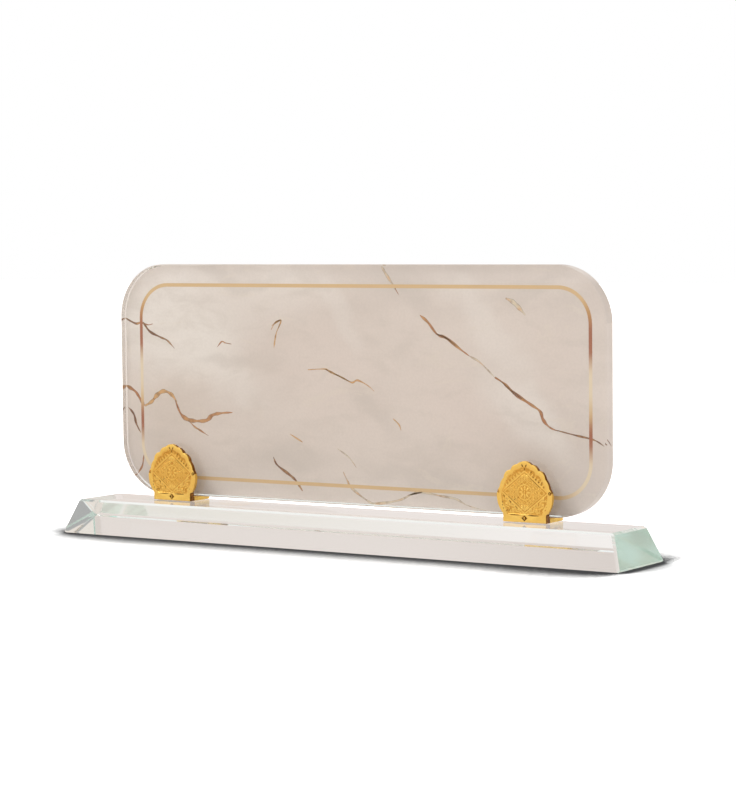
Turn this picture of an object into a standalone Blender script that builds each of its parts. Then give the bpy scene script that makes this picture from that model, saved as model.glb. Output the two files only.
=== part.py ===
"""Desk name plate: a clear glass panel, printed on its back, stands in two cast clamps on a glass bar.

Metres, +Z up. The origin is the centre of the bar's underside, +X runs along the bar to the right as
one reads the panel, and the panel's front faces -Y.
"""

import math

import bmesh
import bpy
from mathutils import Matrix, Vector

# Driving dimensions: the glass bar
bar_length = 0.285
bar_depth = 0.0405
bar_height = 0.015
bar_side_slope = 0.0055
bar_edge_chamfer = 0.0009
bar_back_left_chamfer = 0.0022

# Driving dimensions: the upright glass panel
panel_width = 0.250
panel_height = 0.104
panel_thickness = 0.006
panel_corner_radius = 0.024
panel_edge_chamfer = 0.0006
panel_front_y = 0.0027
panel_above_bar = 0.0024

# Driving dimensions: the printed film on the panel's back
print_thickness = 0.0003
print_margin = 0.0005

# Driving dimensions: the two cast clamps
left_clamp_inset = 0.0312
right_clamp_inset = 0.0361
clamp_width = 0.0264
clamp_height = 0.0254
clamp_foot_width = 0.0204
clamp_foot_height = 0.0033
clamp_front_thickness = 0.0030
clamp_back_thickness = 0.0024
clamp_rim_width = 0.0015
clamp_edge_thickness = 0.0014
clamp_shoulder = 0.0009
clamp_edge_chamfer = 0.0003
field_sink = 0.0009
field_wall_slope = 0.0003
field_foot_height = 0.0036
field_margin = 0.0006
field_engraving_width = 0.0005
field_engraving_depth = 0.0003

# Driving dimensions: the soft cushions either side of the panel, and the bond pads under the clamps
cushion_width = 0.0150
cushion_height = 0.0150
cushion_thickness = 0.0006
cushion_corner_radius = 0.0020
cushion_above_panel_foot = 0.0015
pad_width = 0.0150
pad_depth = 0.0080
pad_thickness = 0.0005
pad_corner_radius = 0.0015

# Clearances
seat_gap = 0.0003
cut_overrun = 0.0020

# How finely round stretches are cut into flats
corner_steps = 16
small_corner_steps = 3
apex_steps = 8

# Worked out from the values above, front to back
panel_foot_z = bar_height + panel_above_bar
panel_back_y = panel_front_y + panel_thickness
print_front_y = panel_back_y + seat_gap
print_back_y = print_front_y + print_thickness
front_cushion_y = panel_front_y - seat_gap - cushion_thickness
back_cushion_y = print_back_y + seat_gap
slot_front_y = front_cushion_y - seat_gap
slot_back_y = back_cushion_y + cushion_thickness + seat_gap
clamp_front_y = slot_front_y - clamp_front_thickness
clamp_back_y = slot_back_y + clamp_back_thickness

# Worked out from the values above, left to right
left_clamp_x = left_clamp_inset - panel_width / 2
right_clamp_x = panel_width / 2 - right_clamp_inset

# Worked out from the values above, bottom to top
clamp_foot_z = bar_height + seat_gap
slot_floor_z = panel_foot_z - seat_gap
pocket_roof_z = clamp_foot_z + pad_thickness + seat_gap
clamp_middle_z = clamp_foot_z + clamp_height / 2


def new_material(name, colour, roughness, metallic=0.0, transmission=0.0, ior=1.5):
    material = bpy.data.materials.new(name)
    material.use_nodes = True
    shader = material.node_tree.nodes["Principled BSDF"]
    shader.inputs["Base Color"].default_value = (*colour, 1.0)
    shader.inputs["Roughness"].default_value = roughness
    shader.inputs["Metallic"].default_value = metallic
    shader.inputs["Transmission Weight"].default_value = transmission
    shader.inputs["IOR"].default_value = ior
    return material


def new_object(name, shape, material):
    """A mesh object made from a bmesh, with its normals facing out."""
    bmesh.ops.recalc_face_normals(shape, faces=shape.faces)
    mesh = bpy.data.meshes.new(name)
    shape.to_mesh(mesh)
    shape.free()
    mesh.materials.append(material)
    part = bpy.data.objects.new(name, mesh)
    bpy.context.scene.collection.objects.link(part)
    return part


def lofted(rings):
    """A closed body through rings of equally many points, with a flat cap on the first and the last."""
    shape = bmesh.new()
    loops = [[shape.verts.new(point) for point in ring] for ring in rings]
    count = len(loops[0])
    for near, far in zip(loops, loops[1:]):
        for i in range(count):
            j = (i + 1) % count
            shape.faces.new((near[i], near[j], far[j], far[i]))
    shape.faces.new(loops[0])
    shape.faces.new(loops[-1])
    return shape


def upright(outline, y):
    """An outline of (x, z) points, stood up at this y."""
    return [Vector((x, y, z)) for x, z in outline]


def rounded_rectangle(width, height, radius, centre_z, steps):
    """Points (x, z) of a rectangle with round corners, centred on x = 0."""
    points = []
    corners = ((1, 1, 0), (-1, 1, 90), (-1, -1, 180), (1, -1, 270))
    for side_x, side_z, start in corners:
        for step in range(steps + 1):
            angle = math.radians(start + 90 * step / steps)
            x = side_x * (width / 2 - radius) + radius * math.cos(angle)
            z = side_z * (height / 2 - radius) + radius * math.sin(angle)
            points.append((x, centre_z + z))
    return points


def arc_between(start, end, bulge, steps):
    """Points from start, left out, to end along an arc that stands bulge away from their chord."""
    start, end = Vector(start), Vector(end)
    chord = end - start
    outward = Vector((chord.y, -chord.x)).normalized()
    points = []
    for step in range(1, steps + 1):
        share = step / steps
        rise = bulge * 4 * share * (1 - share)
        points.append(start + chord * share + outward * rise)
    return points


def clamp_outline():
    """Points (x, z above the foot) of the scalloped plate, once round from its right foot corner."""
    # Where two curves of the edge meet, from the widest point up: its share of the half width and of the height
    # above the foot, the bulge of the curve that ends there as a share of the half width, and its flats.
    side_cusps = (
        (1.000, 0.340, 0.062, 6),
        (0.900, 0.498, 0.026, 4),
        (0.750, 0.679, 0.030, 4),
        (0.500, 0.828, 0.075, 5),
        (0.273, 0.937, 0.050, 4),
    )
    half_width = clamp_width / 2
    lobed_height = clamp_height - clamp_foot_height
    right = [Vector((clamp_foot_width / 2, 0.0)), Vector((clamp_foot_width / 2, clamp_foot_height))]
    for x_share, z_share, bulge, steps in side_cusps:
        cusp = (half_width * x_share, clamp_foot_height + lobed_height * z_share)
        right += arc_between(right[-1], cusp, half_width * bulge, steps)
    last = right[-1]
    apex_rise = clamp_height - last.y
    apex = arc_between(last, (-last.x, last.y), apex_rise, apex_steps)
    left = [Vector((-point.x, point.y)) for point in reversed(right[:-1])]
    return right + apex + left


def drawn_in(outline, inset):
    """The clamp's outline drawn in by about this much all round."""
    width_share = 1 - 2 * inset / clamp_width
    height_share = 1 - 2 * inset / clamp_height
    middle = clamp_height / 2
    return [(x * width_share, middle + (z - middle) * height_share) for x, z in outline]


def narrowed(outline, inset):
    """The clamp's outline drawn in by about this much at its sides and top, its foot kept where it is."""
    width_share = 1 - 2 * inset / clamp_width
    height_share = 1 - inset / clamp_height
    return [(x * width_share, z * height_share) for x, z in outline]


def moved(outline, x, z):
    return [(point[0] + x, point[1] + z) for point in outline]


def block(x_range, y_range, z_range):
    """A closed box between these limits."""
    shape = bmesh.new()
    size = Vector((x_range[1] - x_range[0], y_range[1] - y_range[0], z_range[1] - z_range[0]))
    middle = Vector((sum(x_range) / 2, sum(y_range) / 2, sum(z_range) / 2))
    place = Matrix.Translation(middle) @ Matrix.Diagonal((*size, 1.0))
    bmesh.ops.create_cube(shape, size=1.0, matrix=place)
    return shape


def cut_with(part, name, shape, material):
    """Cuts a closed shape out of the part. The cutter stays in the scene as a hidden wire."""
    cutter = new_object(name, shape, material)
    cutter.hide_render = True
    cutter.display_type = "WIRE"
    modifier = part.modifiers.new(name, "BOOLEAN")
    modifier.operation = "DIFFERENCE"
    modifier.solver = "EXACT"
    modifier.object = cutter


def glass_bar(material):
    """The base: a bar whose four sides all lean in, with polished edges, the upright one at its back left wider."""
    shape = block((-bar_length / 2, bar_length / 2), (-bar_depth / 2, bar_depth / 2), (0.0, bar_height))
    for corner in shape.verts:
        if corner.co.z > bar_height / 2:
            corner.co.x -= math.copysign(bar_side_slope, corner.co.x)
            corner.co.y -= math.copysign(bar_side_slope, corner.co.y)
    widest = max(bar_edge_chamfer, bar_back_left_chamfer)
    share_of_widest = shape.edges.layers.float.new("bevel_weight_edge")
    for edge in shape.edges:
        first, second = edge.verts
        rises = abs(first.co.z - second.co.z) > bar_height / 2
        at_back_left = rises and first.co.x < 0 and first.co.y > 0
        edge[share_of_widest] = (bar_back_left_chamfer if at_back_left else bar_edge_chamfer) / widest
    bar = new_object("glass_base", shape, material)
    chamfer = bar.modifiers.new("polished_edges", "BEVEL")
    chamfer.width = widest
    chamfer.segments = 1
    chamfer.limit_method = "WEIGHT"
    return bar


def glass_panel(material):
    """The upright panel, with round corners and a fine chamfer on both faces' edges."""
    centre_z = panel_foot_z + panel_height / 2
    full = rounded_rectangle(panel_width, panel_height, panel_corner_radius, centre_z, corner_steps)
    face = rounded_rectangle(
        panel_width - 2 * panel_edge_chamfer,
        panel_height - 2 * panel_edge_chamfer,
        panel_corner_radius - panel_edge_chamfer,
        centre_z,
        corner_steps,
    )
    rings = [
        upright(face, panel_front_y),
        upright(full, panel_front_y + panel_edge_chamfer),
        upright(full, panel_back_y - panel_edge_chamfer),
        upright(face, panel_back_y),
    ]
    return new_object("name_panel", lofted(rings), material)


def printed_film(material):
    """The marble print, a thin film over the panel's whole back."""
    outline = rounded_rectangle(
        panel_width - 2 * print_margin,
        panel_height - 2 * print_margin,
        panel_corner_radius - print_margin,
        panel_foot_z + panel_height / 2,
        corner_steps,
    )
    rings = [upright(outline, print_front_y), upright(outline, print_back_y)]
    return new_object("marble_print", lofted(rings), material)


def engraved_rhombus(x):
    """The closed shape of the rhombus line that is engraved in the clamp's sunk field."""
    reach_x = clamp_width / 2 - clamp_rim_width - field_wall_slope - field_margin
    reach_z = clamp_height / 2 - field_foot_height - field_wall_slope - field_margin
    groove_floor_y = clamp_front_y + field_sink + field_engraving_depth
    shape = bmesh.new()
    loops = []
    for inset in (0.0, field_engraving_width):
        for y in (clamp_front_y - cut_overrun, groove_floor_y):
            half_x = reach_x - inset
            half_z = reach_z - inset
            tips = ((half_x, 0.0), (0.0, half_z), (-half_x, 0.0), (0.0, -half_z))
            loops.append([shape.verts.new((x + dx, y, clamp_middle_z + dz)) for dx, dz in tips])
    outer_front, outer_back, inner_front, inner_back = loops
    outer_side = (outer_front, outer_back)
    floor = (outer_back, inner_back)
    inner_side = (inner_back, inner_front)
    mouth = (inner_front, outer_front)
    for near, far in (outer_side, floor, inner_side, mouth):
        for i in range(len(near)):
            j = (i + 1) % len(near)
            shape.faces.new((near[i], near[j], far[j], far[i]))
    return shape


def field_outline(full, slope):
    """The sunk field's outline, this much further in than the rim. Its foot line lies above the clamp's foot."""
    foot_line = field_foot_height + slope
    return [(x, max(z, foot_line)) for x, z in drawn_in(full, clamp_rim_width + slope)]


def clamp_sections():
    """Outlines and their y, from the sunk field's floor out over the rim and round to the back plate."""
    full = clamp_outline()
    shoulder_y = clamp_front_y + clamp_edge_thickness
    return (
        (field_outline(full, field_wall_slope), clamp_front_y + field_sink),
        (field_outline(full, 0.0), clamp_front_y),
        (drawn_in(full, clamp_edge_chamfer), clamp_front_y),
        (full, clamp_front_y + clamp_edge_chamfer),
        (full, shoulder_y),
        (narrowed(full, clamp_shoulder), shoulder_y + clamp_shoulder),
        (narrowed(full, clamp_shoulder), clamp_back_y - clamp_edge_chamfer),
        (narrowed(full, clamp_shoulder + clamp_edge_chamfer), clamp_back_y),
    )


def clamp(side, x, material):
    """A cast clamp: one scalloped body with a sunk field in front, slotted from above for the panel."""
    rings = [upright(moved(outline, x, clamp_foot_z), y) for outline, y in clamp_sections()]
    body = new_object(f"{side}_clamp", lofted(rings), material)

    across = (x - clamp_width / 2 - cut_overrun, x + clamp_width / 2 + cut_overrun)
    above = (slot_floor_z, clamp_foot_z + clamp_height + cut_overrun)
    slot = block(across, (slot_front_y, slot_back_y), above)
    cut_with(body, f"{side}_clamp_slot", slot, material)

    pocket_width = pad_width + 2 * seat_gap
    pocket_depth = pad_depth + 2 * seat_gap
    pocket_middle_y = (clamp_front_y + clamp_back_y) / 2
    pocket = block(
        (x - pocket_width / 2, x + pocket_width / 2),
        (pocket_middle_y - pocket_depth / 2, pocket_middle_y + pocket_depth / 2),
        (clamp_foot_z - cut_overrun, pocket_roof_z),
    )
    cut_with(body, f"{side}_clamp_pocket", pocket, material)
    cut_with(body, f"{side}_clamp_engraving", engraved_rhombus(x), material)
    return body


def cushion(name, x, front_y, material):
    """A thin clear pad between the panel and one leg of a clamp."""
    centre_z = panel_foot_z + cushion_above_panel_foot + cushion_height / 2
    outline = rounded_rectangle(
        cushion_width, cushion_height, cushion_corner_radius, centre_z, small_corner_steps
    )
    outline = moved(outline, x, 0.0)
    rings = [upright(outline, front_y), upright(outline, front_y + cushion_thickness)]
    return new_object(name, lofted(rings), material)


def bond_pad(name, x, material):
    """The clear adhesive pad that holds a clamp's foot to the bar."""
    middle_y = (clamp_front_y + clamp_back_y) / 2
    outline = rounded_rectangle(pad_width, pad_depth, pad_corner_radius, middle_y, small_corner_steps)
    levels = (clamp_foot_z, clamp_foot_z + pad_thickness)
    rings = [[Vector((x + point[0], point[1], z)) for point in outline] for z in levels]
    return new_object(name, lofted(rings), material)


def main():
    for item in list(bpy.data.objects):
        bpy.data.objects.remove(item, do_unlink=True)

    glass_bar(new_material("clear_bar_glass", (0.93, 0.98, 0.96), 0.02, transmission=1.0, ior=1.52))
    glass_panel(new_material("clear_panel_glass", (0.96, 0.98, 0.97), 0.02, transmission=1.0, ior=1.52))
    printed_film(new_material("marble_print", (0.66, 0.58, 0.51), 0.45))

    gold = (0.83, 0.55, 0.16)
    for side, x in (("left", left_clamp_x), ("right", right_clamp_x)):
        clamp(side, x, new_material(f"{side}_clamp_gold", gold, 0.32, metallic=1.0))
        for place, front_y in (("front", front_cushion_y), ("back", back_cushion_y)):
            name = f"{side}_{place}_cushion"
            cushion(name, x, front_y, new_material(name, (0.85, 0.86, 0.86), 0.35, ior=1.41))
        name = f"{side}_bond_pad"
        bond_pad(name, x, new_material(name, (0.80, 0.82, 0.80), 0.30, ior=1.47))


main()
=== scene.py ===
import math

import bmesh
import bpy
from mathutils import Matrix, Vector


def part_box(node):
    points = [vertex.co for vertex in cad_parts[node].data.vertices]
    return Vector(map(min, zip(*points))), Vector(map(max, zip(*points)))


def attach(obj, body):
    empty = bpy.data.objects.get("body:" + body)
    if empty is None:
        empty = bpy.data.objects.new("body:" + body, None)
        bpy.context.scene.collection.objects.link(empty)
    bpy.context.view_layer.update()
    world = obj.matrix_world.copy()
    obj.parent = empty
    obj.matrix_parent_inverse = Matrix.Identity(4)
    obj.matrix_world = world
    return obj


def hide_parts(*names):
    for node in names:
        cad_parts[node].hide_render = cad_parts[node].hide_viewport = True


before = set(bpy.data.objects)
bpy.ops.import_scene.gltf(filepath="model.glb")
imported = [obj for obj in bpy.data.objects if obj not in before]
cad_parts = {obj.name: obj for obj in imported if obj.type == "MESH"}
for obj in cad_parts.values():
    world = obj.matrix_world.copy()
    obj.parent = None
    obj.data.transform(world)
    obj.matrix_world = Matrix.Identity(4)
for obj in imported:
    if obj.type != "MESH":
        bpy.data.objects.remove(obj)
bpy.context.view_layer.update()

mm = 0.001

# The camera, at the photograph's viewing angle
camera_place = (0.6189, -0.9250, 0.1403)
camera_turn = math.radians(33.29)
camera_tilt = math.radians(-3.80)
camera_roll = math.radians(-0.61)
camera_focal_px = 2594.0
photo_height_px = 785.0
sensor_mm = 36.0

# The light and the floor: how bright they are, and how the floor darkens where the bar meets it
world_light = 0.80
lamp_aim = (0, 0, 50 * mm)
floor_size = 8.0
floor_drop = 0.2 * mm
floor_white = 1.75
contact_reach = 45 * mm
shadow_widens_from = 80 * mm
shadow_widens_to = 140 * mm
shadow_widening = 2.5
bar_end_from = 138 * mm
bar_end_to = 148 * mm
shadow_past_bar_end = 0.22
contact_stops = (
    (0.680, (0.035, 0.035, 0.036, 1)),
    (0.790, (0.052, 0.052, 0.053, 1)),
    (0.840, (0.108, 0.108, 0.109, 1)),
    (0.878, (0.210, 0.210, 0.210, 1)),
    (0.925, (0.450, 0.450, 0.450, 1)),
    (0.960, (0.680, 0.680, 0.680, 1)),
    (0.990, (1.0, 1.0, 1.0, 1)),
)

# The border line on the marble, in metres from the panel's ends, top and foot
border_side_inset = 9.2 * mm
border_top_inset = 9.3 * mm
border_foot_inset = 7.9 * mm
border_corner_radius = 15 * mm
border_width = 1.6 * mm

# The panel and its print: the veins and the border line lie a hair in front of the marble
panel_corner_radius = 24 * mm
panel_corner_flats = 40
panel_edge = 0.6 * mm
panel_in_print = 0.05 * mm
vein_lift = 0.01 * mm
border_lift = 0.02 * mm
border_corner_flats = 14
border_steps = 400
vein_flats = 8

# The glass bar: how far its sides lean in for each unit of height
bar_side_lean = 5.5 / 15

# The clamps: the same outline as the solid's, with finer flats
clamp_foot_width = 20.4 * mm
clamp_foot_height = 3.3 * mm
clamp_shoulder = 0.9 * mm
clamp_edge_thickness = 1.4 * mm
clamp_rim_width = 2.4 * mm
clamp_edge = 0.3 * mm
clamp_leg_front = 3.0 * mm
clamp_foot_depth = 3.4 * mm
clamp_leg_back = 2.4 * mm
clamp_web_top = 1.8 * mm
field_sink = 0.42 * mm
field_foot = 3.3 * mm
stipple_pitch = 0.75 * mm
field_wall = 0.25 * mm
relief_margin = 0.3 * mm
relief_weight = 1.45
relief_flatness = 0.6
soft_edge = 0.10 * mm
pad_play = 0.3 * mm
touching = 0.001 * mm


# Selecting and shaping helpers


def deselect_all():
    if bpy.context.mode != "OBJECT":
        bpy.ops.object.mode_set(mode="OBJECT")
    bpy.ops.object.select_all(action="DESELECT")


def make_active(piece):
    deselect_all()
    piece.select_set(True)
    bpy.context.view_layer.objects.active = piece


def begin_edit(piece, mode):
    make_active(piece)
    bpy.ops.object.mode_set(mode="EDIT")
    bpy.ops.mesh.select_mode(type=mode)
    bpy.ops.mesh.select_all(action="DESELECT")


def end_edit():
    bpy.ops.object.mode_set(mode="OBJECT")


def select_edges(piece, wanted):
    """Selects the edges of a piece in edit mode for which wanted(edge) is true, and no others."""
    shape = bmesh.from_edit_mesh(piece.data)
    for edge in shape.edges:
        edge.select_set(False)
    for edge in shape.edges:
        if wanted(edge):
            edge.select_set(True)
    bmesh.update_edit_mesh(piece.data)


def apply_place(piece):
    make_active(piece)
    bpy.ops.object.transform_apply(location=True, rotation=True, scale=True)


def add_block(name, low, high):
    """A box between two corners, ready to be shaped, with its place in its mesh."""
    deselect_all()
    bpy.ops.mesh.primitive_cube_add(size=1.0, location=(Vector(low) + Vector(high)) / 2)
    piece = bpy.context.object
    piece.name = name
    piece.data.name = name
    piece.scale = Vector(high) - Vector(low)
    apply_place(piece)
    return piece


def subtract(piece, cutter):
    """Takes a cutter's shape out of a piece, and the cutter out of the scene."""
    modifier = piece.modifiers.new("cut", "BOOLEAN")
    modifier.operation = "DIFFERENCE"
    modifier.solver = "EXACT"
    modifier.object = cutter
    make_active(piece)
    bpy.ops.object.modifier_apply(modifier=modifier.name)
    bpy.data.objects.remove(cutter, do_unlink=True)


def cut_away(piece, low, high):
    """Cuts the box between two corners out of a piece."""
    subtract(piece, add_block("cutter", low, high))


def carve(piece, middle, half_length, half_width, degrees, corners, depth):
    """Cuts a shallow pocket in a piece's front: a flat shape of so many corners, stretched and turned."""
    deselect_all()
    bpy.ops.mesh.primitive_cylinder_add(vertices=corners, radius=1.0, depth=2 * depth)
    cutter = bpy.context.object
    stretch = Matrix.Diagonal((half_length, half_width, 1.0, 1.0))
    first_corner = Matrix.Rotation(math.radians(90), 4, "Z")
    upright = Matrix.Rotation(math.radians(90), 4, "X")
    turned = Matrix.Rotation(math.radians(-degrees), 4, "Y")
    cutter.data.transform(Matrix.Translation(middle) @ turned @ upright @ stretch @ first_corner)
    subtract(piece, cutter)


def join_to(piece, others):
    """Joins other pieces to a piece."""
    make_active(piece)
    for other in others:
        other.select_set(True)
    bpy.ops.object.join()


def add_object(name, data):
    piece = bpy.data.objects.new(name, data)
    bpy.context.scene.collection.objects.link(piece)
    return piece


def smooth_by_angle(piece, degrees):
    make_active(piece)
    bpy.ops.object.shade_smooth_by_angle(angle=math.radians(degrees))


def rounded_slab(name, low, high, corner_radius):
    """An upright slab with round corners, seen from the front."""
    slab = add_block(name, low, high)
    begin_edit(slab, "EDGE")
    depth = high[1] - low[1]
    select_edges(slab, lambda edge: abs(edge.verts[0].co.y - edge.verts[1].co.y) > depth / 2)
    bpy.ops.mesh.bevel(offset=corner_radius, segments=panel_corner_flats, affect="EDGES")
    end_edit()
    return slab


# Shader helpers


class Nodes:
    """Builds a node tree, one node a call. An input is given as a number, a colour or another socket."""

    def __init__(self, tree):
        self.tree = tree

    def add(self, kind, inputs=None, **settings):
        node = self.tree.nodes.new(kind)
        for key, value in settings.items():
            setattr(node, key, value)
        self.fill(node, inputs or {})
        return node

    def fill(self, node, inputs):
        for key, source in inputs.items():
            if isinstance(source, bpy.types.NodeSocket):
                self.tree.links.new(source, node.inputs[key])
            else:
                node.inputs[key].default_value = source

    def object_place(self):
        return self.add("ShaderNodeTexCoord").outputs["Object"]

    def axes(self, place):
        """The x, y and z of a place, a direction or a UV."""
        node = self.add("ShaderNodeSeparateXYZ", {"Vector": place})
        return tuple(node.outputs[axis] for axis in "XYZ")

    def mapped(self, place, turn=(0, 0, 0), scale=(1, 1, 1), location=(0, 0, 0), kind="POINT"):
        inputs = {"Vector": place, "Location": location, "Rotation": turn, "Scale": scale}
        return self.add("ShaderNodeMapping", inputs, vector_type=kind).outputs["Vector"]

    def noise(self, place, scale, detail=4.0, roughness=0.5, distortion=0.0, output="Fac"):
        shape = {"Scale": scale, "Detail": detail, "Roughness": roughness, "Distortion": distortion}
        return self.add("ShaderNodeTexNoise", {"Vector": place, **shape}).outputs[output]

    def math(self, operation, first, second=0.0):
        return self.add("ShaderNodeMath", {0: first, 1: second}, operation=operation).outputs["Value"]

    def spread(self, source, low, high, to_low=0.0, to_high=1.0, steps="SMOOTHSTEP"):
        limits = {"From Min": low, "From Max": high, "To Min": to_low, "To Max": to_high}
        node = self.add("ShaderNodeMapRange", {"Value": source, **limits}, interpolation_type=steps)
        return node.outputs["Result"]

    def mix(self, share, first, second, kind="MIX"):
        inputs = {"Factor": share, 6: first, 7: second}
        return self.add("ShaderNodeMix", inputs, data_type="RGBA", blend_type=kind).outputs[2]

    def blend(self, source, low, high, first, second, share=1.0):
        """The first colour, with up to this share of the second as the source runs from low to high."""
        return self.mix(self.spread(source, low, high, 0.0, share), first, second)

    def mix_shaders(self, share, first, second):
        return self.add("ShaderNodeMixShader", {"Fac": share, 1: first, 2: second}).outputs["Shader"]

    def seen_in_glass(self, light_path):
        """True for a ray that glass or metal mirrors, or that glass lets through."""
        outputs = light_path.outputs
        return self.math("MAXIMUM", outputs["Is Glossy Ray"], outputs["Is Transmission Ray"])

    def ramp(self, source, stops):
        node = self.add("ShaderNodeValToRGB", {"Fac": source})
        elements = node.color_ramp.elements
        while len(elements) < len(stops):
            elements.new(1.0)
        for element, (position, colour) in zip(elements, stops):
            element.position = position
            element.color = colour
        return node.outputs["Color"]

    def bump(self, height, distance, strength=1.0):
        inputs = {"Height": height, "Distance": distance, "Strength": strength}
        return self.add("ShaderNodeBump", inputs).outputs["Normal"]


def new_material(name):
    """A new material, its node helper, its Principled BSDF and its output, to which that is linked."""
    material = bpy.data.materials.new(name)
    material.use_nodes = True
    material.node_tree.nodes.clear()
    nodes = Nodes(material.node_tree)
    shader = nodes.add("ShaderNodeBsdfPrincipled")
    output = nodes.add("ShaderNodeOutputMaterial")
    nodes.fill(output, {"Surface": shader.outputs["BSDF"]})
    return material, nodes, shader, output


def srgb(red, green, blue):
    """A colour given as it looks on screen, 0 to 255, as the linear colour that a shader takes."""

    def linear(channel):
        share = channel / 255
        return share / 12.92 if share <= 0.04045 else ((share + 0.055) / 1.055) ** 2.4

    return (linear(red), linear(green), linear(blue), 1.0)


def lets_shadow_light_through(nodes, shader, output, tint):
    """Clear glass doesn't darken what is behind it: a shadow ray passes through it, lightly tinted."""
    in_shadow = nodes.add("ShaderNodeLightPath").outputs["Is Shadow Ray"]
    clear = nodes.add("ShaderNodeBsdfTransparent", {"Color": tint})
    either = nodes.mix_shaders(in_shadow, shader.outputs["BSDF"], clear.outputs["BSDF"])
    nodes.fill(output, {"Surface": either})


def dress(piece, *materials):
    """Puts materials in a piece's slots, in place of what is there."""
    slots = piece.data.materials
    for index, material in enumerate(materials):
        if index < len(slots):
            slots[index] = material
        else:
            slots.append(material)


# Materials


def glass_material(name, tint, absorption_colour, absorption_density, shadow_tint):
    """Clear glass whose green shows only where light runs a long way in it."""
    material, nodes, shader, output = new_material(name)
    nodes.fill(shader, {"Base Color": tint, "Roughness": 0.0, "IOR": 1.52, "Transmission Weight": 1.0})
    inputs = {"Color": absorption_colour, "Density": absorption_density}
    absorption = nodes.add("ShaderNodeVolumeAbsorption", inputs)
    nodes.fill(output, {"Volume": absorption.outputs["Volume"]})
    lets_shadow_light_through(nodes, shader, output, shadow_tint)
    return material


# Soft clouds in the marble, in millimetres from the panel's middle and foot: place, half length and
# half height, turn in degrees, strength and colour. The wander blurs their shapes. It shifts them by half
# its reach on average, and their places allow for that.
wander_reach = 36 * mm
cloud_light = srgb(244, 236, 229)
cloud_rose = srgb(233, 218, 209)
cloud_grey = srgb(209, 198, 189)
cloud_sand = srgb(217, 202, 189)
marble_clouds = (
    (-92, 74, 50, 32, 8, 0.85, cloud_light),
    (-70, 52, 40, 16, 0, 0.40, cloud_light),
    (-45, 92, 46, 22, 0, 0.40, cloud_light),
    (-20, 62, 60, 30, 25, 0.45, cloud_rose),
    (-68, 62, 24, 6, -4, 0.35, cloud_grey),
    (26, 92, 24, 8, 35, 0.30, cloud_grey),
    (8, 42, 26, 8, 38, 0.40, cloud_grey),
    (-38, 20, 38, 9, 12, 0.45, cloud_grey),
    (-105, 36, 34, 18, 0, 0.35, cloud_sand),
    (55, 40, 40, 26, 30, 0.60, cloud_rose),
    (66, 78, 40, 14, 40, 0.40, cloud_light),
    (86, 40, 40, 16, 36, 0.60, cloud_light),
    (100, 66, 22, 30, 0, 0.30, cloud_rose),
    (-60, 97, 40, 5, 3, 0.35, cloud_grey),
    (34, 14, 50, 7, 4, 0.30, cloud_grey),
    (84, 96, 34, 5, -12, 0.35, cloud_grey),
    (-8, 84, 22, 10, 60, 0.30, cloud_light),
)


def grind_the_bar(material):
    """The bar's right end is ground a little short of a full polish, its wide chamfer is left satin."""
    nodes = Nodes(material.node_tree)
    shader = next(node for node in material.node_tree.nodes if node.type == "BSDF_PRINCIPLED")
    low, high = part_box("glass_base")
    corners = [vertex.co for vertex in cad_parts["glass_base"].data.vertices]
    corners = [corner for corner in corners if low[2] + 0.5 * mm < corner.z < high[2] - 0.5 * mm]
    chamfer_plane = max(corner.y - corner.x + 2 * bar_side_lean * corner.z for corner in corners)
    end_plane = max(corner.x + bar_side_lean * corner.z for corner in corners)
    x, y, z = nodes.axes(nodes.object_place())
    lean = nodes.math("MULTIPLY", z, bar_side_lean)
    to_chamfer = nodes.math("ADD", nodes.math("SUBTRACT", y, x), nodes.math("MULTIPLY", lean, 2.0))
    to_end = nodes.math("ADD", x, lean)

    def ground_on(distance, plane, roughness):
        return nodes.spread(distance, plane - 0.3 * mm, plane - 0.05 * mm, 0.0, roughness, "LINEAR")

    satin = ground_on(to_chamfer, chamfer_plane, 0.25)
    ground_end = ground_on(to_end, end_plane, 0.14)
    nodes.fill(shader, {"Roughness": nodes.math("MAXIMUM", satin, ground_end)})


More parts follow.
